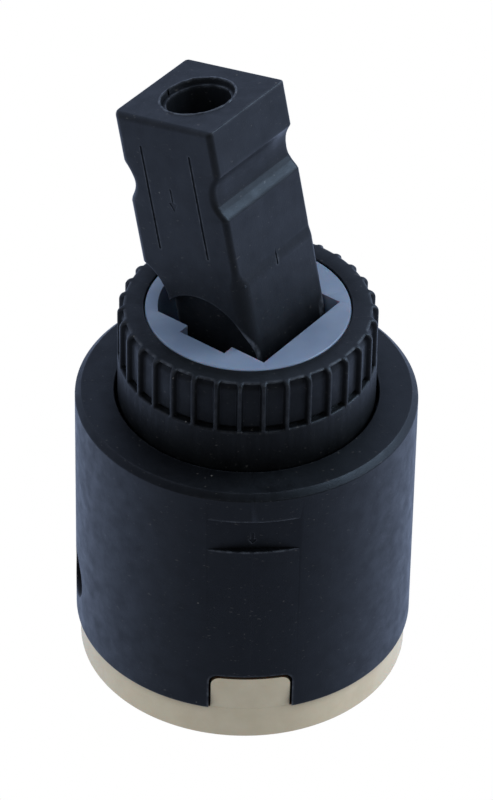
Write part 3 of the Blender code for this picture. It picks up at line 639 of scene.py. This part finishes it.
def make_lever():
    half_depth = LEVER_DEPTH / 2
    heights = [FOOT, -2.0, 0.0, 0.95, 1.05, 3.0, 5.0, 6.0, 6.5, 7.0, 7.5, 8.0, 8.4, 8.7, 8.95, 9.15,
               9.3, 9.45]
    drops = {STEP_DOWN + STEP_HALF * share / 6 for share in range(-7, 8)}
    drops |= {1.2, 2.4, 3.3, 7.3, 8.6, 10.0, 11.2}
    drops |= {drop for table in (FRONT_GROOVE, BACK_GROOVE) for drop, _ in table}
    heights = sorted(heights + [LEVER_TOP - drop for drop in drops])
    steps = 7
    corner_at = ((1, 1), (-1, 1), (-1, -1), (1, -1))
    shape = bmesh.new()

    def corners(height):
        """Corner radii in the order right, back, left, front."""
        lower = smooth((LEVER_TOP - height - STEP_DOWN + 0.9) / 1.6)
        return (0.3 + 0.15 * lower, 0.35, 0.7, 0.45 + 0.65 * lower)

    def outline(height):
        """Points round the section, each with its outward direction and its top edge radius."""
        front, back = lever_sides(height)
        reach = {1: front, -1: back}
        points = []
        for index, (sx, sy) in enumerate(corner_at):
            radius = corners(height)[index]
            centre = (sx * (reach[sx] - radius), sy * (half_depth - radius))
            start = index * 90
            edge_x = 0.12 if sx > 0 else 0.2
            edge_y = 0.5 if sy < 0 else 0.2
            for step in range(steps + 1):
                turn = start + 90 * step / steps
                out = polar(1, turn)
                share = out[1] ** 2
                edge = min(edge_x + (edge_y - edge_x) * share, radius * 0.9)
                points.append((centre[0] + radius * out[0], centre[1] + radius * out[1], out, edge))
        return points

    rings = [[shape.verts.new((x, y, height)) for x, y, _, _ in outline(height)] for height in heights]
    top_outline = outline(LEVER_TOP)
    for turn in (0, 18, 36, 54, 72, 90):
        inward, down = 1 - cos(radians(turn)), 1 - sin(radians(turn))
        rings.append([
            shape.verts.new((x - out[0] * edge * inward, y - out[1] * edge * inward, LEVER_TOP - edge * down))
            for x, y, out, edge in top_outline])
    skin(shape, rings)
    shape.faces.new(rings[0])
    shape.faces.new(rings[-1])
    body = as_object("lever_bar", shape)

    arm, tip = 8.5, 1.5
    neck = degrees(asin(0.75))
    stem = lathe("stem", [(0, -arm - tip)] + arc((0, -arm), tip, -80, neck, 12)
                 + [(1.9, -4.2), (2.1, -3.4), (2.1, -1.0), (0, -1.0)], 48)
    boolean(body, stem, "UNION")
    rim = lathe("rim", [(2.4, LEVER_TOP - 0.3), (2.84, LEVER_TOP - 0.3), (2.84, LEVER_TOP - 0.02),
                        (2.78, LEVER_TOP + 0.045), (2.68, LEVER_TOP + 0.05), (2.4, LEVER_TOP - 0.1)], 96,
                warp=lambda r, z, turn: (r, z + 0.05 * noise.noise(Vector((*polar(6, turn), 0)))
                                         if z > LEVER_TOP else z))
    boolean(body, rim, "UNION")
    for bore_radius, low, high in ((2.66, LEVER_TOP - 0.4, LEVER_TOP + 1),
                                   (2.32, LEVER_TOP - 9.0, LEVER_TOP - 0.3)):
        boolean(body, lathe("screw", [(0, low), (bore_radius, low), (bore_radius, high), (0, high)], 96))
    across, rise, radius = 0.2, 3.4, 4.35
    for side in (-1, 1):
        arch = bmesh.new()
        arch_rings = []
        for depth, spread in ((-0.95, -0.3), (-0.9, -0.15), (-0.75, -0.04), (-0.12, 0.0), (0.0, 0.1),
                              (0.3, 0.6)):
            half = radius + spread
            path = [(across - half, -3.5), (across + half, -3.5)] + arc((across, rise), half, 0, 180, 48)
            arch_rings.append([arch.verts.new((x, side * (half_depth + depth), z)) for x, z in path])
        skin(arch, arch_rings)
        arch.faces.new(arch_rings[0])
        arch.faces.new(arch_rings[-1])
        boolean(body, as_object("arch", arch))
    pip = lathe("pip", [(0, -0.25), (0.2, -0.25), (0.2, 0.0)] + arc((0, 0), 0.2, 15, 75, 4) + [(0, 0.2)], 24)
    boolean(body, along(pip, (LEVER_WIDTH / 2 - 0.02, -3.62, 9.34), (0.75, -0.66, 0)), "UNION")
    bore = lathe("pin_bore", [(0, 0), (PIN_BORE, 0), (PIN_BORE, 12), (0, 12)], 48)
    boolean(body, along(bore, (0, -6, 0), (0, 1, 0)))
    eased(body, 0.05)
    for at in (-2.25, 2.14):
        line = filleted([(at - 0.1, LEVER_TOP - 10.6, 0.06), (at + 0.1, LEVER_TOP - 10.6, 0.06),
                         (at + 0.1, LEVER_TOP - 2.2, 0.08), (at - 0.1, LEVER_TOP - 2.2, 0.08)], 3)
        boolean(body, prism("line", line, -half_depth - 0.5, -half_depth + 0.07, "Y"))
    mark = prism("mark", filleted([
        (-0.09, 0.9, 0.03), (-0.09, -0.25, 0.03), (-0.38, -0.25, 0.04), (0, -0.95, 0.04), (0.38, -0.25, 0.04),
        (0.09, -0.25, 0.03), (0.09, 0.9, 0.03)], 2), -0.2, 0.045, "Y")
    boolean(body, moved(mark, Matrix.Translation((-0.2, -half_depth, LEVER_TOP - 6.2))))
    nick = filleted([(-0.07, -0.6, 0.03), (0.07, -0.6, 0.03), (0.07, 0.6, 0.03), (-0.07, 0.6, 0.03)], 2)
    nick = prism("nick", nick, -0.3, 0.25)
    nick = moved(nick, Matrix.Rotation(radians(-12), 4, "Z"))
    turn = Matrix.Rotation(radians(90), 4, "Y") @ Matrix.Rotation(radians(90), 4, "Z")
    at_step = Matrix.Translation((LEVER_WIDTH / 2 + 0.33, 0.1, LEVER_TOP - STEP_DOWN))
    boolean(body, moved(nick, at_step @ turn))
    finish(body, LEVER_FRAME, LEVER_BLACK, "lever", ["lever"])


# ---------------------------------------------------------------- frame nodes that keep their shape

RUBBER = rubber("seal_rubber")
CERAMIC = ceramic("ceramic")
WHITE = white_plastic("ptfe")
STEEL = steel("steel")

make_housing()
make_base()
make_lower_seals()
make_rotor()
make_collar()
make_lever()

KEPT_NODES = {
    "upper_seal_left": RUBBER, "upper_seal_right": RUBBER, "upper_seal_outlet": RUBBER, "fixed_disc": CERAMIC,
    # The thrust ring, white ptfe, takes the black collar plastic as painted shade, so it stays dark down in
    # the well.
    "thrust_ring": COLLAR_BLACK, "pivot_pin": STEEL, "rotor_o_ring": RUBBER, "tip_cap": WHITE,
    "disc_carrier": BEIGE, "chamber_gasket": RUBBER, "moving_disc": CERAMIC, "silencer": WHITE}
for name, look in KEPT_NODES.items():
    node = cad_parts[name]
    node.material_slots[0].material = look


# ---------------------------------------------------------------- stage, light and camera

COOL, WARM = (0.55, 0.69, 1.03), (0.98, 0.99, 1.0)


def by_direction(tree, direction, stops, left=1.0, right=1.0):
    """A level for every direction: stops run from the front of the room at 0 to its back at 1."""
    parts = tree.nodes.new("ShaderNodeSeparateXYZ")
    span = tree.nodes.new("ShaderNodeMapRange")
    ramp = tree.nodes.new("ShaderNodeValToRGB")
    span.inputs["From Min"].default_value = -1.0
    tree.links.new(direction, parts.inputs[0])
    tree.links.new(parts.outputs["Y"], span.inputs["Value"])
    tree.links.new(span.outputs[0], ramp.inputs["Fac"])
    side = tree.nodes.new("ShaderNodeMapRange")
    for name, value in (("From Min", -1.0), ("To Min", left), ("To Max", right)):
        side.inputs[name].default_value = value
    tree.links.new(parts.outputs["X"], side.inputs["Value"])
    weighed = tree.nodes.new("ShaderNodeVectorMath")
    weighed.operation = "SCALE"
    tree.links.new(ramp.outputs["Color"], weighed.inputs[0])
    tree.links.new(side.outputs[0], weighed.inputs["Scale"])
    points = ramp.color_ramp.elements
    while len(points) < len(stops):
        points.new(0.5)
    for point, (position, level, tint) in zip(points, stops):
        point.position = position
        point.color = (*(channel * level for channel in tint), 1)
    return weighed.outputs[0]


def either(tree, choice, when_off, when_on):
    """One of two colours, by a ray type."""
    node = tree.nodes.new("ShaderNodeMixRGB")
    tree.links.new(choice, node.inputs["Fac"])
    for socket, value in (("Color1", when_off), ("Color2", when_on)):
        if isinstance(value, bpy.types.NodeSocket):
            tree.links.new(value, node.inputs[socket])
        else:
            node.inputs[socket].default_value = (*value, 1)
    return node.outputs["Color"]


def make_stage():
    """A white floor, clear from below. Reflections see it dim in front and bright at the sides and back."""
    floor = bmesh.new()
    side = 2.5
    corners = ((-side, -side), (side, -side), (side, side), (-side, side))
    floor.faces.new([floor.verts.new((x, y, -FLOOR_DROP)) for x, y in corners])
    made = as_object("stage_floor", floor)
    look = bpy.data.materials.new("stage_pale")
    look.use_nodes = True
    tree = look.node_tree
    tree.nodes.remove(tree.nodes["Principled BSDF"])
    seen = tree.nodes.new("ShaderNodeLightPath")
    meeting = tree.nodes.new("ShaderNodeNewGeometry")
    onward = tree.nodes.new("ShaderNodeVectorMath")
    onward.operation = "SCALE"
    onward.inputs["Scale"].default_value = -1.0
    tree.links.new(meeting.outputs["Incoming"], onward.inputs[0])
    mirrored = by_direction(tree, onward.outputs[0], (
        (0.0, 0.26, COOL), (0.17, 0.3, COOL), (0.4, 0.66, COOL), (0.6, 1.15, COOL),
        (1.0, 1.3, COOL)), 1.0, 1.15)
    bounced = either(tree, seen.outputs["Is Glossy Ray"], (0.62, 0.62, 0.61), mirrored)
    glow = tree.nodes.new("ShaderNodeEmission")
    tree.links.new(either(tree, seen.outputs["Is Camera Ray"], bounced, (1, 1, 1)), glow.inputs["Color"])
    clear = tree.nodes.new("ShaderNodeBsdfTransparent")
    sides = tree.nodes.new("ShaderNodeMixShader")
    tree.links.new(meeting.outputs["Backfacing"], sides.inputs["Fac"])
    tree.links.new(glow.outputs[0], sides.inputs[1])
    tree.links.new(clear.outputs[0], sides.inputs[2])
    tree.links.new(sides.outputs[0], tree.nodes["Material Output"].inputs["Surface"])
    made.data.materials.append(look)


def area_light(name, place, aim, size, power, colour=(1, 1, 1), mirrored=False):
    lamp = bpy.data.lights.new(name, "AREA")
    lamp.shape = "RECTANGLE"
    lamp.size, lamp.size_y = size
    lamp.energy = power
    lamp.color = colour
    made = bpy.data.objects.new(name, lamp)
    made.location = place
    made.rotation_euler = (Vector(aim) - Vector(place)).to_track_quat("-Z", "Y").to_euler()
    made.visible_glossy = mirrored
    made.visible_diffuse = not mirrored
    bpy.context.scene.collection.objects.link(made)


def make_light():
    """A room that is black behind the camera and pale round the sides and back, with panels at both sides."""
    world = bpy.data.worlds.new("studio")
    bpy.context.scene.world = world
    world.use_nodes = True
    tree = world.node_tree
    sky = tree.nodes["Background"]
    place = tree.nodes.new("ShaderNodeTexCoord")
    seen = tree.nodes.new("ShaderNodeLightPath")
    mirrored = by_direction(tree, place.outputs["Generated"], (
        (0.0, 0.0, COOL), (0.28, 0.01, COOL), (0.45, 0.45, COOL), (0.56, 0.7, COOL),
        (1.0, 0.75, COOL)), 0.75, 1.25)
    spread = by_direction(tree, place.outputs["Generated"], (
        (0.0, 0.5, WARM), (0.5, 0.9, WARM), (1.0, 0.9, WARM)), 0.8, 1.1)
    indirect = either(tree, seen.outputs["Is Glossy Ray"], spread, mirrored)
    tree.links.new(either(tree, seen.outputs["Is Camera Ray"], indirect, (1, 1, 1)), sky.inputs["Color"])
    middle = (0, 0, 0.025)
    area_light("left_panel", (-0.5, 0.05, 0.25), middle, (0.3, 0.5), 1.2)
    area_light("right_panel", (0.5, 0.05, 0.27), middle, (0.3, 0.5), 2.2)
    area_light("right_strip", (0.31, 0.05, 0.33), middle, (0.3, 0.12), 1.3, (0.52, 0.74, 1), mirrored=True)


def make_camera():
    """A long lens a little above the shoulder, framed on the whole cartridge."""
    elevation, azimuth, roll = radians(38.764), radians(-2.1), radians(1.067)
    distance, aim_height = 361.14, 17.85
    shift_right, shift_up = -0.0621, -3.1238
    back = Vector((sin(azimuth) * cos(elevation), -cos(azimuth) * cos(elevation), sin(elevation)))
    level = Vector((cos(azimuth), sin(azimuth), 0))
    rise = back.cross(level)
    right = cos(roll) * level + sin(roll) * rise
    up = -sin(roll) * level + cos(roll) * rise
    aim = Vector((0, 0, aim_height + PEG_LENGTH))
    place = (aim + back * distance - right * shift_right - up * shift_up) * MM
    lens = bpy.data.cameras.new("camera")
    lens.sensor_fit = "AUTO"
    lens.sensor_width = 36.0
    lens.lens = 221.53
    lens.clip_start = 0.01
    made = bpy.data.objects.new("camera", lens)
    bpy.context.scene.collection.objects.link(made)
    turn = Matrix((right, up, back)).transposed().to_4x4()
    made.matrix_world = Matrix.Translation(place) @ turn
    bpy.context.scene.camera = made


make_stage()
make_light()
make_camera()
bpy.context.scene.view_settings.view_transform = "Standard"
